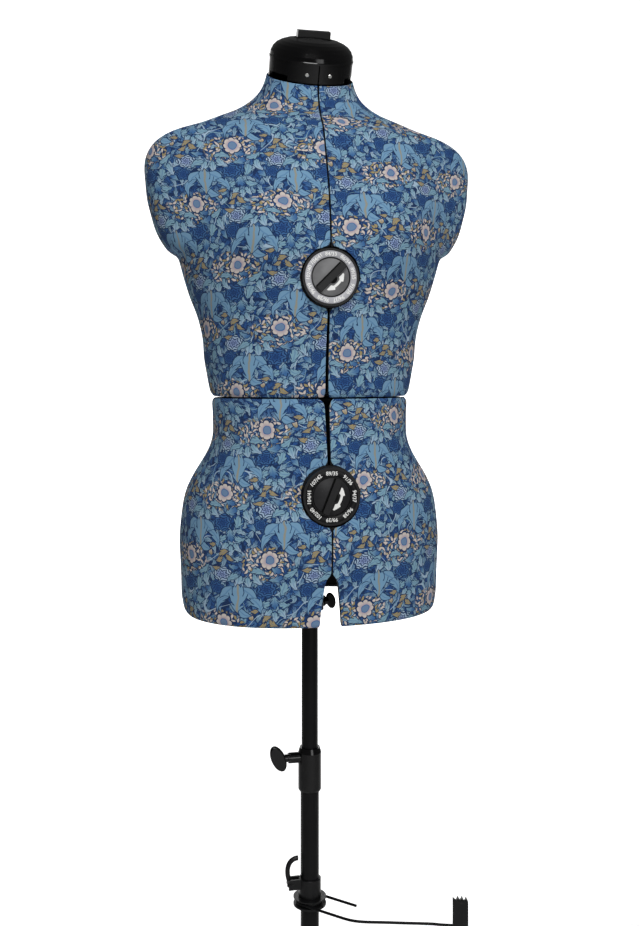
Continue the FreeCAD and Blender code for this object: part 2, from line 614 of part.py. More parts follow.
band = revolve("neck_band", [(47.4, 0), (50.8, 0), (50.8, 21), (47.4, 21)],
               [(1, "r", "neck_radius"), (2, "r", "neck_radius"), (2, "z", "band_height")])
slot_sketch = sketch_on(band, "XY_Plane", "neck_band_split")
polygon(slot_sketch, [(-0.7, -40), (0.7, -40), (0.7, -60), (-0.7, -60)])
slot = band.newObject("PartDesign::Pocket", "neck_band_slot")
slot.Profile = slot_sketch
slot.SideType = "Symmetric"
slot.Length = 60
band.Tip = slot
for hand in (1, -1):
    relief_sketch = sketch_on(band, "XY_Plane", "neck_band_relief_%d" % (hand + 1))
    polygon(relief_sketch, [(34 * hand, -3), (58 * hand, -3), (58 * hand, -37), (34 * hand, -37)][::hand])
    relief = band.newObject("PartDesign::Pocket", "neck_band_notch_%d" % (hand + 1))
    relief.Profile = relief_sketch
    relief.SideType = "Symmetric"
    relief.Length = 12
    band.Tip = relief
at_neck(band)

for side, hand in (("left", 1), ("right", -1)):
    screw = revolve("neck_screw_" + side, [(0, 0), (2.5, 0), (2.5, 0.7), (1.9, 1.3), (0, 1.3)])
    heading = FreeCAD.Rotation(Vector(0, 0, 1), Vector(0.27 * hand, -0.963, 0))
    spot = tilt_turn.multVec(Vector(50.86 * 0.27 * hand, -50.86 * 0.963, 9.5)) + Vector(0, 0, size("neck_z"))
    screw.Placement = FreeCAD.Placement(spot, tilt_turn.multiply(heading))

dome = [(48.6, 0.1), (51.4, 0.1), (51.4, 2.2), (50.9, 3.0), (50.2, 7.5), (47.8, 12.6), (43.6, 17), (38, 20.2),
        (31, 22.6), (23, 23.9), (22.6, 20.6), (6.2, 20.6), (6.2, 17.8), (31, 17.8), (40, 15), (45.5, 9.5),
        (48.0, 4)]
cap = revolve("neck_cap", dome)
at_neck(cap, size("band_height"))
grip = box("neck_grip", "knob_width", "knob_depth", "knob_height", ("0 - knob_width / 2", "0 - knob_depth / 2", 21))
disc = cylinder("neck_disc", 21.6, 2.2, (0, 0, 20.9))
stem = cylinder("neck_stem", 6.1, 12, (0, 0, 10))
dial = fuse("neck_dial", [grip, disc, stem])
keep(at_neck(dial, size("band_height")), "neck_dial")

# ================================================================ hem marker
collar = revolve("hem_collar_turned", [(11.35, 399.4), (15.4, 399.4), (15.4, 402.2), (13.1, 402.2), (13.1, 413),
                                       (13.6, 413), (13.6, 434.4), (13.0, 435), (11.35, 435)],
                 [(5, "r", "hem_collar_radius"), (6, "r", "hem_collar_radius"), (8, "z", "hem_collar_top")])
NODES.pop()
ear = fuse("hem_ear", [box("hem_ear_front", 15, 2.4, 12, ("0 - 27", "0 - 6.3", 423.5)),
                       box("hem_ear_back", 15, 2.4, 12, ("0 - 27", 3.9, 423.5))])
pin = cylinder("hem_pin", 1.9, 14.6, ("0 - 23.8", "0 - 7.3", 429.5), "y")
keep(fuse("hem_collar", [collar, ear, pin]), "hem_collar")

lever_path = [(-23.8, 0, 429.5), (-26.4, 0, 435.5), (-27.6, 0, 443), (-26.8, 0, 450.5), (-23.6, 0, 456.2),
              (-19, 0, 459), (-14.8, 0, 459.6)]
loop = sweep("hem_lever_loop", 2.9, lever_path)
eye = cylinder("hem_lever_eye", 4.6, 7, ("0 - 23.8", "0 - 3.5", 429.5), "y")
lever_solid = fuse("hem_lever_solid", [loop, eye])
keep(cut("hem_lever", lever_solid, cylinder("hem_lever_hole", 1.95, 20, ("0 - 23.8", "0 - 10", 429.5), "y")),
     "hem_lever")

revolve("hem_swivel", [(13.15, 402.6), (20, 402.6), (20, 404.4), (15, 404.6), (15, 411), (20, 411.2),
                       (20, 412.6), (13.15, 412.6)],
        [(1, "r", "hem_ring_radius"), (2, "r", "hem_ring_radius"), (5, "r", "hem_ring_radius")])

WIRE_TURN = 16.7
heading = Vector(0.70, -0.714, 0)
across = Vector(0.714, 0.70, 0)
WIRE_Z = 407.7
lift = Vector(0, 0, WIRE_Z)
turn_start = across * WIRE_TURN + lift
turn_middle = heading * -WIRE_TURN + lift
turn_end = across * -WIRE_TURN + lift
straight_end = turn_end + heading * 56
bend = Part.BSplineCurve()
bend.interpolate(Points=[straight_end, straight_end + Vector(11.5, -8.2, -0.6), Vector(66, -67.5, 406),
                         Vector(100, -75.2, 405), Vector(131, -82.4, 404), Vector(158, -90.5, 403.2)],
                 InitialTangent=heading, FinalTangent=Vector(0.957, -0.288, 0))
wire_path = Part.Wire([Part.makeLine(turn_start + heading * 56, turn_start),
                       Part.Arc(turn_start, turn_middle, turn_end).toShape(),
                       Part.makeLine(turn_end, straight_end), bend.toShape()])
keep(sweep("hem_arm", "wire_radius", [], wire_path), "hem_arm")

jaw_turn = FreeCAD.Rotation(Vector(0, 0, 1), math.degrees(math.atan2(-0.288, 0.957)))
jaw_base = Vector(160.3, -91.2, 0)


def jaw(label, low):
    """Clip plate with a saw-toothed top, standing beside the arm's end."""
    outline = [(-9, low), (9, low), (9, 433)]
    outline += [(6.6, 438), (4.2, 433.5), (1.8, 438.8), (-0.6, 434.2), (-3.0, 438.8), (-5.4, 434), (-9, 437)]
    plate_face = body_new(label)
    sk = sketch_on(plate_face, "XZ_Plane", label + "_outline")
    polygon(sk, outline)
    pad = plate_face.newObject("PartDesign::Pad", label + "_pad")
    pad.Profile = sk
    pad.setExpression("Length", "Sizes.jaw_thick")
    NODES.pop()
    doc.recompute()
    return plate_face


fixed_plate = jaw("jaw_fixed_plate", 370)
ears = [box("jaw_ear_left", 1.6, 8, 8, ("0 - 11", "0 - 7.4", 380)),
        box("jaw_ear_right", 1.6, 8, 8, (9.4, "0 - 7.4", 380))]
bridge = box("jaw_bridge", 22, 1.2, 8, ("0 - 11", "0 - 0.6", 380))
jaw_pin = cylinder("jaw_pin", 1.1, 22, ("0 - 11", "0 - 5", 384), "x")
fixed = fuse("hem_jaw_fixed", [fixed_plate] + ears + [bridge, jaw_pin])
moving_plate = jaw("jaw_moving_plate", 382.6)
moving_plate.Placement = FreeCAD.Placement(Vector(0, -3.2, 0), FreeCAD.Rotation())
knuckle = cylinder("jaw_knuckle", 2.2, 17.8, ("0 - 8.9", "0 - 5", 384), "x")
moving_hole = cylinder("jaw_moving_hole", 1.16, 24, ("0 - 12", "0 - 5", 384), "x")
moving = cut("hem_jaw_moving", fuse("jaw_moving_solid", [moving_plate, knuckle]), moving_hole)
for piece, label in ((fixed, "hem_jaw_fixed"), (moving, "hem_jaw_moving")):
    piece.Placement = FreeCAD.Placement(jaw_base, jaw_turn)
    keep(piece, label)

# ================================================================ checks and export
doc.recompute()
faults = []
for obj in doc.Objects:
    if "Invalid" in obj.State or "Error" in obj.State:
        faults.append(obj.Name)
for node in NODES:
    if node.Shape.isNull() or not node.Shape.isValid() or node.Shape.Volume <= 0:
        faults.append(node.Label)
    print(node.Label, len(node.Shape.Solids), round(node.Shape.Volume), node.Shape.optimalBoundingBox())
print(len(NODES), "nodes, faults:", faults)
if faults:
    raise RuntimeError("faulty shapes: %s" % faults)
for node in NODES:
    node.Shape.exportStep("parts/%s.step" % node.Label)
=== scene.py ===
import json
import math

import bmesh
import bpy
from mathutils import Matrix, Vector
from mathutils.bvhtree import BVHTree


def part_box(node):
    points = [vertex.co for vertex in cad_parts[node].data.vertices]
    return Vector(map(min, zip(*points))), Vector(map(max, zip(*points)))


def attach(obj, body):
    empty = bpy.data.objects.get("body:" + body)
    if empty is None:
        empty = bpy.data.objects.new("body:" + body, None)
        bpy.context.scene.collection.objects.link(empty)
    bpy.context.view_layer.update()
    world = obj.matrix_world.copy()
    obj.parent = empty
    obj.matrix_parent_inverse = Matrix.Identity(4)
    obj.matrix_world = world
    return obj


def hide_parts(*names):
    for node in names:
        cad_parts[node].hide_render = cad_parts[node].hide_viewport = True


# Looks for the adjustable dress form. Metres, row frame: +Z up, the torso's front towards -Y.

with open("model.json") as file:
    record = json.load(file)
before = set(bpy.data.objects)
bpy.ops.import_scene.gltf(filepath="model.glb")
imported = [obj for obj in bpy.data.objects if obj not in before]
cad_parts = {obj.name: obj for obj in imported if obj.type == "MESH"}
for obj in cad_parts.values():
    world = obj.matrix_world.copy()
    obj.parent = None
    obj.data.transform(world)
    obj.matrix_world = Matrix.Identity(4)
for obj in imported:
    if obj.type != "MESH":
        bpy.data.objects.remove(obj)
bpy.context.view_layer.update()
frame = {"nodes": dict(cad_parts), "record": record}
nodes = frame["nodes"]
record = frame["record"]
BODY_OF = {n: b for b, members in record["behaviour"]["bodies"].items() for n in members}
MM = 0.001
scene = bpy.context.scene


# ------------------------------------------------------------------ node graph helpers
class Graph:
    """Small writer for a material's node tree; values are sockets or plain numbers."""

    def __init__(self, name):
        self.mat = bpy.data.materials.new(name)
        self.mat.use_nodes = True
        self.tree = self.mat.node_tree
        self.shader = self.tree.nodes["Principled BSDF"]

    def put(self, socket, value):
        if isinstance(value, bpy.types.NodeSocket):
            self.tree.links.new(value, socket)
        elif value is not None:
            size = len(socket.default_value) if hasattr(socket.default_value, "__len__") else 0
            if size and not hasattr(value, "__len__"):
                value = [value] * size
            elif size == 4 and len(value) == 3:
                value = list(value) + [1.0]
            socket.default_value = value

    def node(self, kind, out=0, **inputs):
        n = self.tree.nodes.new("ShaderNode" + kind)
        for key, value in inputs.items():
            self.put(n.inputs[int(key[1:])] if key[0] == "_" and key[1:].isdigit() else n.inputs[key], value)
        return n.outputs[out]

    def math(self, op, a, b=None, c=None):
        n = self.tree.nodes.new("ShaderNodeMath")
        n.operation = op
        for socket, value in zip(n.inputs, (a, b, c)):
            self.put(socket, value)
        return n.outputs[0]

    def add(self, a, b):
        return self.math("ADD", a, b)

    def sub(self, a, b):
        return self.math("SUBTRACT", a, b)

    def mul(self, a, b):
        return self.math("MULTIPLY", a, b)

    def step(self, value, low, high):
        """0 below low, 1 above high, smooth between; low may be above high."""
        n = self.tree.nodes.new("ShaderNodeMapRange")
        n.interpolation_type = "SMOOTHSTEP"
        flip = isinstance(low, float) and isinstance(high, float) and low > high
        if flip:
            low, high = high, low
        self.put(n.inputs["Value"], value)
        self.put(n.inputs["From Min"], low)
        self.put(n.inputs["From Max"], high)
        self.put(n.inputs["To Min"], 1.0 if flip else 0.0)
        self.put(n.inputs["To Max"], 0.0 if flip else 1.0)
        return n.outputs[0]

    def mix(self, fac, a, b):
        n = self.tree.nodes.new("ShaderNodeMix")
        n.data_type = "RGBA"
        self.put(n.inputs[0], fac)
        self.put(n.inputs[6], a)
        self.put(n.inputs[7], b)
        return n.outputs[2]

    def blend(self, fac, a, b):
        """Number mix."""
        return self.add(self.mul(self.sub(1.0, fac), a), self.mul(fac, b))

    def xyz(self, x, y, z=0.0):
        return self.node("CombineXYZ", _0=x, _1=y, _2=z)

    def noise(self, vector, scale, detail=2.0, out=0, rough=0.5):
        n = self.tree.nodes.new("ShaderNodeTexNoise")
        self.put(n.inputs["Vector"], vector)
        n.inputs["Scale"].default_value = scale
        n.inputs["Detail"].default_value = detail
        n.inputs["Roughness"].default_value = rough
        return n.outputs[out]

    def set(self, **values):
        for key, value in values.items():
            self.put(self.shader.inputs[key.replace("_", " ")], value)

    def bump(self, height, strength, distance):
        return self.node("Bump", Strength=strength, Distance=distance, Height=height)


def plain(name, color, rough, metal=0.0, coat=0.0, grain=0.06, grain_scale=90.0, bump=0.05, specular=0.5):
    """Moulded plastic or metal with a little unevenness in colour, gloss and surface."""
    g = Graph(name)
    where = g.node("TexCoord", out=3)
    cloud = g.noise(where, grain_scale * 0.15, 3.0)
    fine = g.noise(where, grain_scale * 9.0, 2.0)
    lift = g.step(cloud, 0.3, 0.7)
    dark = [c * (1 - grain * 2) for c in color]
    light = [min(1.0, c * (1 + grain * 2) + 0.002) for c in color]
    g.set(Base_Color=g.mix(lift, dark, light), Metallic=metal, Coat_Weight=coat, Coat_Roughness=0.12)
    g.set(Roughness=g.add(rough - 0.04, g.mul(cloud, 0.08)))
    g.set(Specular_IOR_Level=specular)
    g.set(Normal=g.bump(fine, bump, 0.0004))
    return g.mat


# ------------------------------------------------------------------ floral cloth
NAVY = (0.0075, 0.024, 0.082)
DEEP = (0.018, 0.068, 0.225)
MID = (0.040, 0.118, 0.285)
BELL = (0.155, 0.295, 0.440)
PALE = (0.190, 0.335, 0.425)
SKY = (0.340, 0.460, 0.575)
CREAM = (0.560, 0.500, 0.455)
ROSE = (0.400, 0.330, 0.370)
LILAC = (0.225, 0.300, 0.520)
OCHRE = (0.310, 0.250, 0.120)
STEEL = (0.130, 0.210, 0.340)
TILE_W, TILE_H = 105.0, 147.0
# One repeat of the print in millimetres from its flower: each group has the middle it is drawn round and its
# leaves as (across, up, heading in degrees, length, width, bend, teeth, low colour, high colour).
GROUPS = [
    ((-36, 48), [
        (-44, 52, 200, 17, 10, 0.3, 3, MID, PALE), (-36, 41, -105, 16, 11, 0.1, 3, PALE, PALE),
        (-25, 47, -70, 17, 9.5, -0.25, 3, PALE, SKY), (-28, 59, 35, 19, 8, -0.3, 3, PALE, PALE),
        (-46, 63, 150, 15, 9, 0.2, 3, MID, PALE), (-20, 36, -40, 13, 8, 0.2, 2, MID, PALE)]),
    ((-46, 20), [
        (-58, 22, 190, 16, 9, 0.3, 3, PALE, PALE), (-53, 13, 230, 13, 8, -0.1, 3, PALE, SKY),
        (-45, 9, 268, 13, 9.5, 0.1, 3, PALE, SKY), (-37, 13, -50, 13, 8, 0.1, 3, PALE, SKY),
        (-34, 22, -5, 15, 9, -0.3, 3, PALE, PALE), (-46, 26, 95, 15, 12, 0.1, 4, MID, PALE)]),
    ((-28, -16), [
        (-35, -25, -112, 17, 12, 0.2, 3, PALE, SKY), (-24, -27, -82, 16, 10, -0.1, 3, PALE, SKY),
        (-14, -23, -45, 17, 9.5, -0.3, 3, PALE, SKY), (-12, -12, -8, 19, 8, 0.3, 3, PALE, PALE),
        (-43, -20, 205, 19, 9, -0.3, 3, PALE, PALE), (-42, -9, 165, 15, 6.5, 0.2, 3, MID, PALE),
        (-30, -40, -95, 13, 9, 0.0, 2, MID, PALE), (-17, -36, -60, 13, 7, 0.2, 2, MID, BELL)]),
    ((46, 1), [
        (51, 8, 24, 13, 7, 0.3, 2, OCHRE, OCHRE), (58, 0, -34, 13, 6.5, -0.3, 2, OCHRE, OCHRE),
        (46, -1, 205, 11, 6, 0.3, 2, OCHRE, OCHRE), (41, -11, 178, 13, 6, 0.3, 2, OCHRE, OCHRE),
        (38, 15, 18, 13, 5.5, -0.3, 2, OCHRE, OCHRE), (33, 8, 96, 8, 6, 0.2, 0, OCHRE, CREAM)]),
    ((17, 27), [
        (24, 11, -24, 18, 9, -0.3, 0, BELL, BELL), (2, 34, -137, 22, 14, -0.1, 0, BELL, BELL),
        (-6, 23, -122, 26, 8.5, -0.5, 2, BELL, BELL), (31, 34, -38, 24, 14, 0.1, 0, BELL, BELL),
        (41, 24, -52, 22, 12, 0.4, 3, BELL, BELL), (17, 28, -91, 34, 22, 0.02, 3, BELL, BELL)]),
]


def fold(g, u, v, du, dv):
    """Local place of a half-drop repeat whose motif sits at (du, dv) in the tile."""
    a, b = g.sub(u, du), g.sub(v, dv)
    ax = g.math("WRAP", a, TILE_W / 2, -TILE_W / 2)
    ay = g.math("WRAP", b, TILE_H / 2, -TILE_H / 2)
    bx = g.math("WRAP", g.sub(a, TILE_W / 2), TILE_W / 2, -TILE_W / 2)
    by = g.math("WRAP", g.sub(b, TILE_H / 2), TILE_H / 2, -TILE_H / 2)
    near_a = g.math("MULTIPLY_ADD", ax, ax, g.mul(ay, ay))
    near_b = g.math("MULTIPLY_ADD", bx, bx, g.mul(by, by))
    pick = g.math("LESS_THAN", near_a, near_b)
    return g.blend(pick, bx, ax), g.blend(pick, by, ay)


def polar(g, x, y):
    r = g.math("SQRT", g.math("MULTIPLY_ADD", x, x, g.mul(y, y)))
    return r, g.math("ARCTAN2", y, x)


def leaf(g, spot, at, heading, length, width, bend, teeth):
    """Serrated, bent leaf: (distance inside its edge in mm, distance from its vein, place along it)."""
    n = g.tree.nodes.new("ShaderNodeMapping")
    n.vector_type = "TEXTURE"
    g.put(n.inputs["Vector"], spot)
    n.inputs["Location"].default_value = (at[0], at[1], 0)
    n.inputs["Rotation"].default_value = (0, 0, math.radians(heading))
    n.inputs["Scale"].default_value = (length / 2.0, width / 2.0, 1.0)
    split = g.tree.nodes.new("ShaderNodeSeparateXYZ")
    g.put(split.inputs[0], n.outputs[0])
    return leaf_edge(g, split.outputs[0], split.outputs[1], width, bend * length / width, teeth)


def leaf_edge(g, x, y, width, bend, teeth):
    square = g.mul(x, x)
    side = g.math("ABSOLUTE", g.math("MULTIPLY_ADD", square, bend, y))
    taper = g.math("MAXIMUM", g.math("MULTIPLY_ADD", x, -0.30, 0.88), 0.3)
    body = g.mul(g.sub(1.0, square), taper)
    if teeth:
        saw = g.math("FRACT", g.math("MULTIPLY_ADD", x, teeth / 2.0, g.mul(side, 0.55)))
        body = g.mul(body, g.math("MULTIPLY_ADD", saw, -0.66, 1.18))
    return g.mul(g.sub(body, side), width / 2.0), side, x


def paint_leaf(g, color, edge, side, along, low, high, vein, line):
    """Leaf over the ground: navy outline, pale rim, gradient towards the tip and a thin vein."""
    body = g.mix(g.step(along, -0.8, 0.9), low, high)
    body = g.mix(g.mul(g.step(side, 0.16, 0.05), vein), body, line)
    return g.mix(g.step(edge, -0.05, 0.35), g.mix(g.step(edge, -1.25, -0.7), color, NAVY), body)


def scatter(g, u, v, cell, seed, length, width, teeth, flow, turn):
    """Leaves strewn over the cloth, one per Voronoi cell: (edge, side, along, cell tone)."""
    n = g.tree.nodes.new("ShaderNodeTexVoronoi")
    n.voronoi_dimensions = "2D"
    g.put(n.inputs["Vector"], g.xyz(g.add(u, seed), g.add(v, seed * 1.7)))
    n.inputs["Scale"].default_value = 1.0 / cell
    n.inputs["Randomness"].default_value = 0.85
    spot = g.tree.nodes.new("ShaderNodeSeparateXYZ")
    g.put(spot.inputs[0], n.outputs["Position"])
    tint = g.tree.nodes.new("ShaderNodeSeparateColor")
    g.put(tint.inputs[0], n.outputs["Color"])
    x, y = g.sub(g.add(u, seed), spot.outputs[0]), g.sub(g.add(v, seed * 1.7), spot.outputs[1])
    angle = g.math("MULTIPLY_ADD", flow, 7.0, g.mul(tint.outputs[0], turn))
    s, c = g.math("SINE", angle), g.math("COSINE", angle)
    x, y = g.add(g.mul(x, c), g.mul(y, s)), g.sub(g.mul(y, c), g.mul(x, s))
    edge, side, along = leaf_edge(g, g.mul(x, 2.0 / length), g.mul(y, 2.0 / width), width, 0.35, teeth)
    return edge, side, along, tint.outputs[1]


def floral():
    """Cotton print: pale and mid blue acanthus leaves, bells, small flowers and ochre sprigs on navy."""
    g = Graph("floral_print")
    place = g.tree.nodes.new("ShaderNodeUVMap")
    place.uv_map = "Print"
    scaled = g.tree.nodes.new("ShaderNodeVectorMath")
    scaled.operation = "SCALE"
    g.put(scaled.inputs[0], place.outputs[0])
    scaled.inputs["Scale"].default_value = 1000.0
    raw = scaled.outputs[0]
    split = g.tree.nodes.new("ShaderNodeSeparateXYZ")
    g.put(split.inputs[0], raw)
    u0, v0 = split.outputs[0], split.outputs[1]
    wob = g.tree.nodes.new("ShaderNodeTexNoise")
    g.put(wob.inputs["Vector"], raw)
    wob.inputs["Scale"].default_value = 0.075
    wob.inputs["Detail"].default_value = 2.0
    shift = g.tree.nodes.new("ShaderNodeSeparateColor")
    g.put(shift.inputs[0], wob.outputs["Color"])
    u = g.add(u0, g.mul(g.sub(shift.outputs[0], 0.5), 6.0))
    v = g.add(v0, g.mul(g.sub(shift.outputs[1], 0.5), 6.0))
    flow = g.noise(g.xyz(u0, v0, 300.0), 0.014, 1.0)

    # navy ground with deep blue clouds and underleaves
    color = g.mix(g.step(g.noise(raw, 0.11, 2.0), 0.46, 0.60), NAVY, DEEP)
    for cell, seed, length, width, teeth, turn, low, high in (
            (17.0, 31.0, 22.0, 11.0, 3, 2.4, DEEP, MID), (12.0, 57.0, 16.0, 7.4, 3, 3.2, MID, BELL),
            (10.5, 91.0, 14.0, 6.6, 3, 4.2, PALE, SKY)):
        edge, side, along, tone = scatter(g, u, v, cell, seed, length, width, teeth, flow, turn)
        color = paint_leaf(g, color, edge, side, along, g.mix(tone, DEEP, low), g.mix(tone, low, high), 0.5,
                           NAVY)
    # curved stems
    for scale, seed, tint in ((0.026, 10.0, SKY), (0.034, 40.0, PALE)):
        line = g.math("ABSOLUTE", g.sub(g.noise(g.xyz(u0, v0, seed), scale, 0.0), 0.5))
        color = g.mix(g.step(line, 0.0085, 0.0035), color, tint)

    # dark round blossoms with scalloped rings, and a lilac one drawn in pale lines
    for at, size, light, dark in (((-3, -33), 1.0, MID, DEEP), ((-9, 39), 0.75, MID, DEEP),
                                  ((-3, 56), 0.95, SKY, LILAC)):
        x, y = fold(g, u, v, float(at[0]), float(at[1]))
        r, a = polar(g, x, g.mul(y, 1.25))
        scallop = g.mul(g.math("ABSOLUTE", g.math("SINE", g.mul(a, 3.5))), 2.8 * size)
        inside = g.sub(g.add(scallop, 9.6 * size), r)
        rings = g.math("PINGPONG", g.add(r, g.mul(scallop, 1.1)), 2.1 * size)
        petal = g.mix(g.step(rings, 0.5 * size, 1.3 * size), NAVY, g.mix(g.step(r, 9.0, 3.0), light, dark))
        color = g.mix(g.step(inside, -1.2, -0.6), color, NAVY)
        color = g.mix(g.step(inside, -0.1, 0.5), color, petal)

    # rice-shaped cream and ochre dashes drifting round the flowers
    edge, side, along, tone = scatter(g, u, v, 5.0, 129.0, 6.2, 2.7, 0, flow, 6.0)
    x, y = fold(g, u, v, -4.0, -4.0)
    r, a = polar(g, g.mul(x, 0.56), y)
    drift = g.step(g.math("MULTIPLY_ADD", g.noise(raw, 0.05, 1.0), 12.0, r), 25.5, 22.5)
    dash = g.mix(g.step(tone, 0.30, 0.40), OCHRE, CREAM)
    color = g.mix(g.mul(g.step(edge, -1.1, -0.6), drift), color, NAVY)
    color = g.mix(g.mul(g.step(edge, -0.2, 0.2), drift), color, dash)

    for middle, leaves in GROUPS:
        x, y = fold(g, u, v, float(middle[0]), float(middle[1]))
        spot = g.xyz(x, y)
        for lx, ly, heading, length, width, bend, teeth, low, high in leaves:
            at = (lx - middle[0], ly - middle[1])
            edge, side, along = leaf(g, spot, at, heading, length, width, bend, teeth)
            big = low == BELL
            main_lobe = low == BELL and width > 15
            color = paint_leaf(g, color, edge, side, along, low, high, 0.7 if main_lobe else 0.45,
                               OCHRE if main_lobe else MID)

    # small eight-petalled flowers with a dark ring and a steel-blue eye
    x, y = fold(g, u, v, 0.0, 0.0)
    r, a = polar(g, x, y)
    wave = g.math("POWER", g.math("ABSOLUTE", g.math("COSINE", g.mul(a, 4.0))), 0.5)
    rim = g.math("MULTIPLY_ADD", wave, 2.6, 7.9)
    inside = g.sub(rim, r)
    petal = g.mix(g.step(r, 4.5, 9.0), ROSE, CREAM)
    petal = g.mix(g.mul(g.step(wave, 0.50, 0.28), 0.8), petal, ROSE)
    petal = g.mix(g.step(r, 5.2, 4.6), petal, MID)
    petal = g.mix(g.step(r, 4.3, 3.8), petal, STEEL)
    color = g.mix(g.step(inside, -1.9, -1.1), color, NAVY)
    color = g.mix(g.step(inside, 0.0, 0.5), color, petal)

    # woven cotton: fine threads, a little fuzz and slow unevenness
    weave = g.mul(g.math("SINE", g.mul(u0, 9.5)), g.math("SINE", g.mul(v0, 9.5)))
    fuzz = g.noise(raw, 0.9, 2.0)
    color = g.mix(g.mul(g.step(fuzz, 0.35, 0.75), 0.05), color, SKY)
    g.set(Base_Color=color, Roughness=0.92, Specular_IOR_Level=0.06, Sheen_Weight=0.03, Sheen_Roughness=0.6)
    height = g.add(g.mul(weave, 0.25), g.mul(g.noise(raw, 0.06, 3.0), 0.75))
    g.set(Normal=g.bump(height, 0.2, 0.0006))
    return g.mat


# ------------------------------------------------------------------ torso surface
# Millimetre tables of the moulded panels' outline, the same form as the CAD covers; each cover is then laid
# on its CAD node.
# Half width of the torso over the fabric, by height of the section's middle.
HALF_WIDTH = [(765, 150.6), (775, 153.4), (786, 155), (808, 155.6), (830, 156.6), (852, 157.4), (874, 155.8),
              (896, 153), (907, 150.3), (918, 146.2), (929, 140.2), (940, 133.4), (951, 126.6), (962, 121.4),
              (973, 118.2), (995, 117.8), (1010, 118.6), (1021, 119.8), (1036, 123), (1050, 125.6),
              (1072, 129), (1093, 130.2), (1104, 132.8), (1115, 135.8), (1126, 139.6), (1137, 144),
              (1148, 148.4), (1159, 151.2), (1170, 154.4), (1186, 158.2), (1214, 162), (1258, 166), (1302, 167),
              (1313, 163), (1324, 157), (1335, 147), (1348, 124.6), (1356, 112.4), (1363, 97.4), (1370, 82),
              (1378, 71), (1385, 63.2), (1392, 58.8), (1400, 55.4), (1411, 52.4)]
# Extra half width of the arm stumps over that smooth body.
STUMP = [(1184, 0), (1190, 2.5), (1192.5, 7), (1197, 12.6), (1204, 16.8), (1212, 20.8), (1222, 24), (1236, 26.6),
         (1258, 30.2), (1280, 31.6), (1302, 32.2), (1313, 31), (1324, 27.8), (1335, 19.6), (1348, 6.8),
         (1356, 2.4), (1363, 0)]
FRONT_DEPTH = [(765, 111.5), (800, 113), (850, 115), (900, 112), (950, 104), (1000, 95.5), (1021, 92.5),
               (1050, 93), (1100, 99), (1150, 107), (1200, 112), (1250, 105), (1300, 88), (1335, 74),
               (1356, 63), (1370, 57), (1385, 52), (1400, 48.6), (1411, 47.6)]
BACK_DEPTH = [(765, 115), (820, 125), (860, 128), (900, 122), (950, 107), (1000, 90), (1021, 86),
              (1080, 89), (1150, 100), (1220, 112), (1280, 112), (1330, 98), (1356, 82), (1370, 71),
              (1385, 58), (1400, 50), (1411, 47.6)]
ROUNDNESS = [(765, 2.25), (900, 2.2), (1021, 2.15), (1150, 2.25), (1250, 2.5), (1320, 2.4), (1370, 2.1),
             (1411, 2.0)]
NECK_SLOPE = math.tan(math.radians(25))
RIM_ROUND = {("lower", "top"): 9.0, ("upper", "low"): 9.0, ("lower", "low"): 5.0, ("upper", "top"): 0.0}
BOTTOM = {"lower": 765.0, "upper": 1021.6}
TOP = {"lower": 1020.4, "upper": 1409.4}
FRONT_GAP = {
    "upper": [(1021, 3.4), (1024, 2.4), (1028, 1.6), (1060, 1.4), (1110, 1.1), (1200, 0.6), (1411, 0.6)],
    "lower": [(765, 12.5), (790, 10.2), (805, 8.4), (814, 7.1), (819, 5.4), (822.5, 3.2), (825.5, 1.0),
              (830, 0.6), (870, 0.6), (950, 1.6), (1004, 2.3), (1012, 2.6), (1016, 4.0), (1018.4, 5.8),
              (1020.4, 8.4)],
}
BACK_GAP = {"upper": [(1021, 2.4), (1026, 1.0), (1411, 0.6)],
            "lower": [(765, 1.0), (1010, 1.0), (1020.4, 3.4)]}
SIDE_GAP = {"upper": [(1021, 2.75), (1026, 1.35), (1411, 0.65)],
            "lower": [(765, 1.6), (780, 0.7), (1010, 0.7), (1020.4, 3.0)]}


def ease(low, high, value):
    part = min(1.0, max(0.0, (value - low) / (high - low)))
    return part * part * (3 - 2 * part)


def from_table(rows, value):
    """Monotone cubic reading of a (position, size) table."""
    if value <= rows[0][0]:
        return rows[0][1]
    if value >= rows[-1][0]:
        return rows[-1][1]
    k = min(max(i for i in range(len(rows)) if rows[i][0] <= value), len(rows) - 2)

    def rise(i):
        return (rows[i + 1][1] - rows[i][1]) / (rows[i + 1][0] - rows[i][0])

    def slope(i):
        if i == 0 or i == len(rows) - 1:
            return rise(min(i, len(rows) - 2))
        a, b = rise(i - 1), rise(i)
        return 0.0 if a * b <= 0 else 2 * a * b / (a + b)

    span = rows[k + 1][0] - rows[k][0]
    t = (value - rows[k][0]) / span
    t2, t3 = t * t, t ** 3
    return ((2 * t3 - 3 * t2 + 1) * rows[k][1] + (t3 - 2 * t2 + t) * slope(k) * span
            + (3 * t2 - 2 * t3) * rows[k + 1][1] + (t3 - t2) * slope(k + 1) * span)


def rim_pull(level, z):
    pull = 0.0
    for end, edge in (("low", BOTTOM[level]), ("top", TOP[level])):
        radius = RIM_ROUND[(level, end)]
        away = abs(z - edge) + 0.1 * radius
        if radius and away < radius:
            pull += 0.8 * (radius - math.sqrt(radius * radius - (radius - away) ** 2))
    return pull


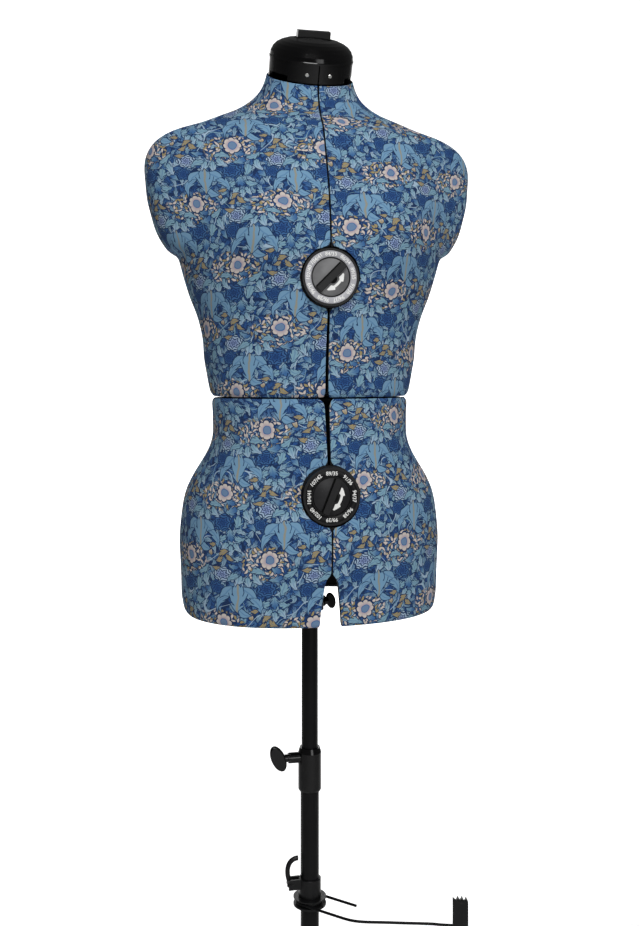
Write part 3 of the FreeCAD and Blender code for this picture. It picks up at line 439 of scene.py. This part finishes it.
def torso_point(phi, z, level):
    """Point on the cloth; phi runs 0 at the front, 90 degrees at the side, 180 at the back."""
    wide = from_table(HALF_WIDTH, z)
    front = phi < math.pi / 2
    deep = from_table(FRONT_DEPTH if front else BACK_DEPTH, z)
    power = from_table(ROUNDNESS, z)
    across, along = abs(math.sin(phi)), abs(math.cos(phi))
    reach = (across ** power + along ** power) ** (-1.0 / power)
    x, y = wide * reach * math.sin(phi), -deep * reach * math.cos(phi)
    x += from_table(STUMP, z) * math.exp(-((y / 52.0) ** 4)) * ease(0.55, 0.95, across)
    if front:
        y -= 17 * math.exp(-(((abs(x) - 74) / 42.0) ** 2) - ((z - 1207) / 50.0) ** 2)
        y -= 5 * math.exp(-((x / 70.0) ** 2) - ((z - 860) / 55.0) ** 2)
    else:
        y += 9 * math.exp(-(((abs(x) - 62) / 40.0) ** 2) - ((z - 866) / 44.0) ** 2)
        y += 4 * math.exp(-(((abs(x) - 72) / 38.0) ** 2) - ((z - 1255) / 60.0) ** 2)
    pull = rim_pull(level, z)
    length = math.hypot(x, y)
    x, y = x - pull * x / length, y - pull * y / length
    return Vector((x, y, z + NECK_SLOPE * ease(1325, 1411, z) * y)) * MM


ROLL = 0.9
TUCK = 5.0
DIAL_HOLE = 34.4


def span_list(low, high, pitch):
    count = max(2, int(round((high - low) / pitch)))
    return [low + (high - low) * k / count for k in range(count + 1)]


def row_heights(level, dial_z):
    low, high = BOTTOM[level] + ROLL - 0.2, TOP[level] - ROLL + 0.4
    rows = span_list(low, high, 4.2)
    extra = {"lower": (767.5, 768.6, 812, 817, 819.5, 821.2, 822.8, 824.2, 825.6, 827, 1010, 1012, 1014, 1015.6,
                       1017, 1018), "upper": (1024.5, 1026.2, 1028.5, 1031, 1190, 1194, 1198)}[level]
    extra += tuple(dial_z + way * (DIAL_HOLE + rise) for way in (-1, 1) for rise in (1.6, 3.2, 5.0))
    rows = [r for r in rows if min(abs(r - e) for e in extra) > 1.2] + list(extra)
    return sorted(r for r in rows if low <= r <= high)


# Where each panel's print starts, across and up, in metres.
PRINT_AT = {("upper", "front", "left"): (-0.0234, 0.0368), ("upper", "front", "right"): (-0.0502, 0.0078),
            ("upper", "back", "left"): (0.31, 0.02), ("upper", "back", "right"): (0.29, 0.05),
            ("lower", "front", "left"): (-0.040, -0.019), ("lower", "front", "right"): (0.0178, -0.0045),
            ("lower", "back", "left"): (0.22, 0.04), ("lower", "back", "right"): (0.27, 0.01)}


def cover(level, face, side, material, gap_shade):
    """Foam-backed cloth of one panel: dense outer sheet, cut round the dial, edges rolled over the shell."""
    node = "%s_%s_%s_cover" % (level, face, side)
    hand = 1 if side == "left" else -1
    dial_low, dial_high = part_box("%s_%s_dial" % (level, face))
    dial_z = (dial_low[2] + dial_high[2]) / 2
    mesh = bmesh.new()
    uv_at = {}
    rows = row_heights(level, dial_z / MM)
    columns = 52 if level == "upper" else 44
    gap = FRONT_GAP[level] if face == "front" else BACK_GAP[level]
    grid = []
    height = 0.0
    base = Vector(PRINT_AT[(level, face, side)])
    last = None
    for z in rows:
        wide = from_table(HALF_WIDTH, z)
        deep = from_table(FRONT_DEPTH if face == "front" else BACK_DEPTH, z)
        cusp = 2.2 * ease(DIAL_HOLE + 5.0, DIAL_HOLE, abs(z - dial_z / MM))
        start = math.asin((from_table(gap, z) + ROLL + 0.25 + cusp) / wide)
        stop = math.pi / 2 - math.asin((from_table(SIDE_GAP[level], z) + ROLL) / deep)
        if face == "back":
            start, stop = math.pi - start, math.pi - stop
        row = [torso_point(start + (stop - start) * k / columns, z, level) for k in range(columns + 1)]
        if last:
            height += (row[columns // 4] - last[columns // 4]).length
        last = row
        across = row[0].x
        verts = []
        for k, point in enumerate(row):
            if k:
                across += (row[k] - row[k - 1]).length
            vert = mesh.verts.new((point.x * hand, point.y, point.z))
            uv_at[vert] = (base.x + across * hand, base.y + height + (0.0 if level == "lower" else 0.5))
            verts.append(vert)
        grid.append(verts)
    faces = []
    for j in range(len(grid) - 1):
        for k in range(columns):
            faces.append(mesh.faces.new([grid[j][k], grid[j][k + 1], grid[j + 1][k + 1], grid[j + 1][k]]))
    # cut out the dial's half circle and pull the cut edge onto a true circle
    radius = (DIAL_HOLE + ROLL) * MM

    def from_dial(vert):
        return math.hypot(vert.co.x, vert.co.z - dial_z)

    inside = [f for f in faces if all(from_dial(v) < radius for v in f.verts)]
    bmesh.ops.delete(mesh, geom=inside, context="FACES")
    for vert in [v for v in mesh.verts if not v.link_faces]:
        mesh.verts.remove(vert)
    for vert in mesh.verts:
        away = from_dial(vert)
        if away < radius:
            old = vert.co.copy()
            scale = radius / max(away, 1e-6)
            vert.co.x *= scale
            vert.co.z = dial_z + (vert.co.z - dial_z) * scale
            u, v = uv_at[vert]
            uv_at[vert] = (u + vert.co.x - old.x, v + vert.co.z - old.z)
    # lay the sheet on the CAD cover's outer face
    source = nodes[node].data
    tree = BVHTree.FromPolygons([v.co for v in source.vertices], [p.vertices for p in source.polygons])
    bmesh.ops.recalc_face_normals(mesh, faces=mesh.faces)
    sample = max(mesh.faces, key=lambda f: abs(f.calc_center_median().x))
    if sample.normal.x * hand < 0:
        bmesh.ops.reverse_faces(mesh, faces=mesh.faces)
    mesh.normal_update()
    for vert in mesh.verts:
        outward = vert.normal.copy()
        spot = tree.ray_cast(vert.co + outward * 0.006, -outward, 0.0115)
        if spot[0] is not None and spot[1].dot(outward) > 0.4:
            vert.co = spot[0]
    mesh.normal_update()
    # roll every border over the shell's edge
    layer = mesh.loops.layers.uv.new("Print")
    rim = [e for e in mesh.edges if len(e.link_faces) == 1]
    out_dir = {}
    normal_at = {}
    for edge in rim:
        face_one = edge.link_faces[0]
        along = edge.verts[1].co - edge.verts[0].co
        aside = along.cross(face_one.normal)
        if aside.dot(edge.verts[0].co - face_one.calc_center_median()) < 0:
            aside = -aside
        for vert in edge.verts:
            out_dir[vert] = out_dir.get(vert, Vector()) + aside.normalized()
            normal_at[vert] = vert.normal.copy()
    for vert in out_dir:
        out_dir[vert].normalize()
    ring = {v: v for v in out_dir}
    origin = {v: (v.co.copy(), uv_at[v]) for v in out_dir}
    steps = [(math.sin(math.radians(a)), 1 - math.cos(math.radians(a))) for a in (24, 46, 68, 90)]
    offsets = [(ROLL * s, ROLL * c) for s, c in steps] + [(ROLL, ROLL + TUCK / 2), (ROLL, ROLL + TUCK)]
    for k, (aside, down) in enumerate(offsets):
        fresh = {}
        for first, now in ring.items():
            home, spot = origin[first]
            vert = mesh.verts.new(home + out_dir[first] * aside * MM - normal_at[first] * down * MM)
            reach = (aside + down) * MM
            uv_at[vert] = (spot[0] + out_dir[first].x * reach, spot[1] + out_dir[first].z * reach)
            fresh[first] = vert
        for edge in rim:
            a, b = edge.verts
            # the inward half of the roll takes the second material, near-black cloth as painted shade in the
            # gaps between panels
            mesh.faces.new([ring[a], ring[b], fresh[b], fresh[a]]).material_index = 1 if k > 2 else 0
        ring = fresh
    bmesh.ops.recalc_face_normals(mesh, faces=mesh.faces)
    sample = max(mesh.faces, key=lambda f: abs(f.calc_center_median().x))
    if sample.normal.x * hand < 0:
        bmesh.ops.reverse_faces(mesh, faces=mesh.faces)
    for face_one in mesh.faces:
        face_one.smooth = True
        for loop in face_one.loops:
            loop[layer].uv = uv_at[loop.vert]
    data = bpy.data.meshes.new(node + "_cloth")
    mesh.to_mesh(data)
    mesh.free()
    obj = bpy.data.objects.new(node + "_cloth", data)
    scene.collection.objects.link(obj)
    data.materials.append(material)
    data.materials.append(gap_shade)
    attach(obj, BODY_OF[node])
    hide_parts(node)
    return obj


cloth = floral()
# near-black cloth on the rolled-under edges: painted shade in the gaps between the panels
painted_gap_shade_cloth = plain("painted_gap_shade_cloth", (0.006, 0.007, 0.010), 0.85, grain_scale=400, bump=0.4, specular=0.1)
for level in ("upper", "lower"):
    for face in ("front", "back"):
        for side in ("left", "right"):
            cover(level, face, side, cloth, painted_gap_shade_cloth)


# ------------------------------------------------------------------ materials on the CAD nodes
SLOT_LOOK = {
    "stand_plastic": plain("stand_plastic", (0.010, 0.010, 0.011), 0.38, grain_scale=60, specular=0.25),
    "pole_metal": plain("pole_metal", (0.004, 0.004, 0.0045), 0.36, grain_scale=70, bump=0.12, specular=0.12),
    "black_plastic": plain("black_plastic", (0.002, 0.002, 0.0022), 0.14, coat=0.12, grain_scale=60,
                           bump=0.02, specular=0.22),
    "inner_plastic": plain("inner_plastic", (0.008, 0.008, 0.0085), 0.55, grain_scale=60, specular=0.2),
    "shell_plastic": plain("shell_plastic", (0.006, 0.006, 0.0065), 0.60, grain_scale=60, specular=0.15),
    "floral_fabric": cloth,
    "dial_grey": plain("dial_grey", (0.004, 0.004, 0.0045), 0.40, grain_scale=90, specular=0.2),
    "dial_black": plain("dial_black", (0.004, 0.004, 0.0045), 0.42, grain_scale=90, specular=0.2),
    "rubber": plain("rubber", (0.022, 0.022, 0.022), 0.80, grain_scale=120, bump=0.2),
    "bright_steel": plain("bright_steel", (0.62, 0.62, 0.60), 0.22, metal=1.0, grain_scale=60),
    "clip_plastic": plain("clip_plastic", (0.005, 0.005, 0.0055), 0.34, grain_scale=80, specular=0.22),
}
SLOT_OF = {s["node"]: s["material_slot"] for s in record["subparts"]}
for name, obj in nodes.items():
    obj.data.materials.clear()
    obj.data.materials.append(SLOT_LOOK[SLOT_OF[name]])


# ------------------------------------------------------------------ small parts
def solid(name, verts, faces, material, body, smooth=False):
    data = bpy.data.meshes.new(name)
    data.from_pydata([tuple(v) for v in verts], [], faces)
    if smooth:
        data.shade_smooth()
    data.materials.append(material)
    obj = bpy.data.objects.new(name, data)
    scene.collection.objects.link(obj)
    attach(obj, body)
    return obj


def lathe(name, profile, place, material, body, count=96):
    """Ring or disc of revolution from (radius, lift) points; place maps (x, lift, z) to the row frame."""
    verts, faces = [], []
    for k in range(count):
        angle = 2 * math.pi * k / count
        for radius, lift in profile:
            verts.append(place(radius * math.cos(angle), lift, radius * math.sin(angle)))
    size = len(profile)
    for k in range(count):
        for j in range(size - 1):
            a, b = k * size + j, ((k + 1) % count) * size + j
            faces.append((a, a + 1, b + 1, b))
    return solid(name, verts, faces, material, body, True)


def ribbon(name, outline, lift, thick, place, material, body):
    """Flat raised shape from its outline in the dial's plane."""
    count = len(outline)
    verts = [place(x, lift + thick, z) for x, z in outline] + [place(x, lift, z) for x, z in outline]
    faces = [list(range(count))]
    faces += [(k, (k + 1) % count, (k + 1) % count + count, k + count) for k in range(count)]
    return solid(name, verts, faces, material, body, False)


ink_white = plain("dial_ink", (0.78, 0.78, 0.76), 0.5, grain=0.03)
ring_silver = plain("dial_ring_silver", (0.36, 0.36, 0.385), 0.42, grain=0.05)
ring_black = plain("dial_ring_black", (0.003, 0.003, 0.0035), 0.38, grain=0.05, specular=0.15)
disc_grey = plain("dial_disc_grey", (0.150, 0.150, 0.153), 0.55, grain=0.14, grain_scale=220, bump=0.25,
                  specular=0.25)
disc_black = plain("dial_disc_black", (0.013, 0.013, 0.014), 0.50, grain=0.14, grain_scale=220, bump=0.25,
                   specular=0.2)
# near-black flat sheets laid on the dials as painted shade round the grip bar and in its dimple
painted_shade_black = plain("dial_painted_shade", (0.002, 0.002, 0.002), 0.6, specular=0.1)
NUMERALS = {"upper": ("84/33", "86/34", "89/35", "91/36", "94/37", "96/38", "99/39", "102/40", "104/41"),
            "lower": ("89/35", "91/36", "94/37", "96/38", "99/39", "102/40", "104/41", "107/42")}


def numerals(name, words, radius, height, lift, place, material, body, start):
    """Numbers set round the ring, feet towards the centre."""
    verts, faces = [], []
    for k, word in enumerate(words):
        text = bpy.data.curves.new(name + "_text", "FONT")
        text.body = word
        text.size = height
        text.align_x = "CENTER"
        text.align_y = "CENTER"
        text.offset = height * 0.018
        text.resolution_u = 3
        holder = bpy.data.objects.new(name + "_text", text)
        scene.collection.objects.link(holder)
        bpy.context.view_layer.update()
        flat = bpy.data.meshes.new_from_object(holder.evaluated_get(bpy.context.evaluated_depsgraph_get()))
        angle = math.radians(start - 360.0 * k / len(words))
        c, s = math.cos(angle), math.sin(angle)
        first = len(verts)
        for v in flat.vertices:
            along, up = v.co.x, v.co.y + radius
            verts.append(place(up * c + along * s, lift, up * s - along * c))
        faces += [[first + i for i in p.vertices] for p in flat.polygons]
        bpy.data.objects.remove(holder)
        bpy.data.meshes.remove(flat)
        bpy.data.curves.remove(text)
    return solid(name, verts, faces, material, body, False)


def dial(level, face):
    """Ring with numbers, grey middle, painted shade round the grip bar and in its dimple, and the turn mark on
    one dial.
    """
    node = "%s_%s_dial" % (level, face)
    body = BODY_OF[node]
    low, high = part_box(node)
    out = -1 if face == "front" else 1
    mid_z = (low[2] + high[2]) / 2
    bar_face = low[1] if out < 0 else high[1]
    rim_face = bar_face - out * 0.0043

    def place(x, lift, z):
        """Dial's own view: x to the right as seen from outside, z up, lift towards the viewer."""
        return Vector((-x * out, rim_face + out * lift, mid_z + z))

    ring_look, disc_look = (ring_silver, disc_grey) if level == "upper" else (ring_black, disc_black)
    lathe(node + "_ring", [(0.0300, -0.0006), (0.0297, 0.0003), (0.0293, 0.0005), (0.0229, 0.0005),
                           (0.0226, 0.0001), (0.0226, -0.0018)], place, ring_look, body)
    lathe(node + "_middle", [(0.0212, -0.0023), (0.0211, -0.0004), (0.0207, 0.0003), (0.0001, 0.0003)], place,
          disc_look, body)
    slant = math.radians(45 if level == "upper" else 68)
    along = Vector((math.cos(slant), math.sin(slant)))
    aside = Vector((along.y, -along.x))
    # painted shade: a flat black band under the grip bar, wider on its upper-left side
    shade = [along * s + aside * d for s, d in ((-0.0200, -0.0052), (0.0200, -0.0052), (0.0200, 0.0044),
                                                (-0.0200, 0.0044))]
    ribbon(node + "_bar_shade", [(p.x, p.y) for p in shade], 0.0003, 0.0002, place, painted_shade_black, body)
    # painted shade of the dimple beside the bar, as a flat black patch
    dimple_shade_outline = [along * (0.0048 * math.cos(a)) + aside * (0.0038 + 0.0042 * math.sin(a)) for a in
             [math.pi * k / 12 for k in range(13)]]
    ribbon(node + "_dimple", [(p.x, p.y) for p in dimple_shade_outline], 0.0003, 0.0003, place, painted_shade_black, body)
    # double-ended curved arrow beside the bar
    centre_line = []
    for k in range(17):
        t = -1 + 2 * k / 16.0
        centre_line.append((0.0132 * t, 0.0072 + 0.0036 * (1 - t * t), t))

    def half(t):
        return 0.0014 if abs(t) < 0.5 else 0.0032 * (1.12 - abs(t)) / 0.62 + 0.0003

    top = [(s, d + half(t)) for s, d, t in centre_line]
    low_side = [(s, d - half(t)) for s, d, t in reversed(centre_line)]
    outline = [along * s + aside * d for s, d in top + low_side]
    ribbon(node + "_arrow", [(p.x, p.y) for p in outline], 0.0003, 0.0004, place, ink_white, body)
    numerals(node + "_numbers", NUMERALS[level], 0.0257, 0.0060, 0.0007, place, ink_white, body, 90)


for level in ("upper", "lower"):
    for face in ("front", "back"):
        dial(level, face)


# ------------------------------------------------------------------ floor, lights and camera
def stage_sheet(name, points, glow_from, glow_to):
    """Pale studio surface that glows more towards the back, with a black patch of painted shade behind the
    waist.
    """
    data = bpy.data.meshes.new(name)
    data.from_pydata(points, [], [list(range(len(points)))])
    obj = bpy.data.objects.new(name, data)
    scene.collection.objects.link(obj)
    g = Graph(name)
    where = g.node("TexCoord", out=3)
    split = g.tree.nodes.new("ShaderNodeSeparateXYZ")
    g.put(split.inputs[0], where)
    aside = g.math("ABSOLUTE", g.sub(split.outputs[0], 0.73))
    behind = g.math("ABSOLUTE", g.sub(split.outputs[2], 0.94))
    # painted shade: a black patch with no glow on the wall behind the waist, seen only through the gaps between
    # the panels
    shade = g.mul(g.step(aside, 0.30, 0.27), g.step(behind, 0.10, 0.08))
    glow = g.mul(g.step(split.outputs[1], glow_from, glow_to), g.step(aside, 1.65, 1.5))
    glow = g.mul(glow, g.sub(1.0, shade))
    g.set(Base_Color=g.mix(shade, (0.86, 0.86, 0.86), (0.0, 0.0, 0.0)), Roughness=0.9, Specular_IOR_Level=0.1)
    g.set(Emission_Color=(1.0, 1.0, 1.0), Emission_Strength=glow)
    data.materials.append(g.mat)


def softbox(name, place, aim, size_x, size_y, power):
    light = bpy.data.lights.new(name, "AREA")
    light.shape = "RECTANGLE"
    light.size, light.size_y = size_x, size_y
    light.energy = power
    obj = bpy.data.objects.new(name, light)
    obj.location = place
    obj.rotation_euler = (Vector(aim) - Vector(place)).to_track_quat("-Z", "Y").to_euler()
    scene.collection.objects.link(obj)


stage_sheet("studio_floor", [(-9, -9, -0.0005), (9, -9, -0.0005), (9, 3.2, -0.0005), (-9, 3.2, -0.0005)],
            0.35, 0.75)
stage_sheet("studio_wall", [(-3, 3.2, -0.0005), (4, 3.2, -0.0005), (4, 3.2, 2.9), (-3, 3.2, 2.9)], 0.0, 1.0)
world = bpy.data.worlds.new("studio")
scene.world = world
world.use_nodes = True
world.node_tree.nodes["Background"].inputs[0].default_value = (1.0, 1.0, 1.0, 1.0)
world.node_tree.nodes["Background"].inputs[1].default_value = 0.10
scene.view_settings.view_transform = "Standard"
softbox("key", (-0.35, -2.2, 2.9), (0, 0, 1.15), 1.3, 1.0, 58)
softbox("fill", (0.6, -2.8, 1.2), (0, 0, 1.05), 1.0, 1.2, 17)

# The camera stands 1.3 m from the pole and 1.052 m up, on the -X side, level, with its picture shifted down.
AZIMUTH = math.radians(-12.8)
toward = Vector((math.sin(AZIMUTH), -math.cos(AZIMUTH), 0))
rightward = Vector((math.cos(AZIMUTH), math.sin(AZIMUTH), 0))
camera_data = bpy.data.cameras.new("camera")
camera_data.lens = 41.43
camera_data.sensor_width = 36.0
camera_data.clip_start = 0.05
camera = bpy.data.objects.new("camera", camera_data)
camera.location = toward * 1.3 + rightward * 0.0125 + Vector((0, 0, 1.052))
camera_data.shift_y = -92.0 / 926.0
camera.rotation_euler = (-toward).to_track_quat("-Z", "Y").to_euler()
scene.collection.objects.link(camera)
scene.camera = camera
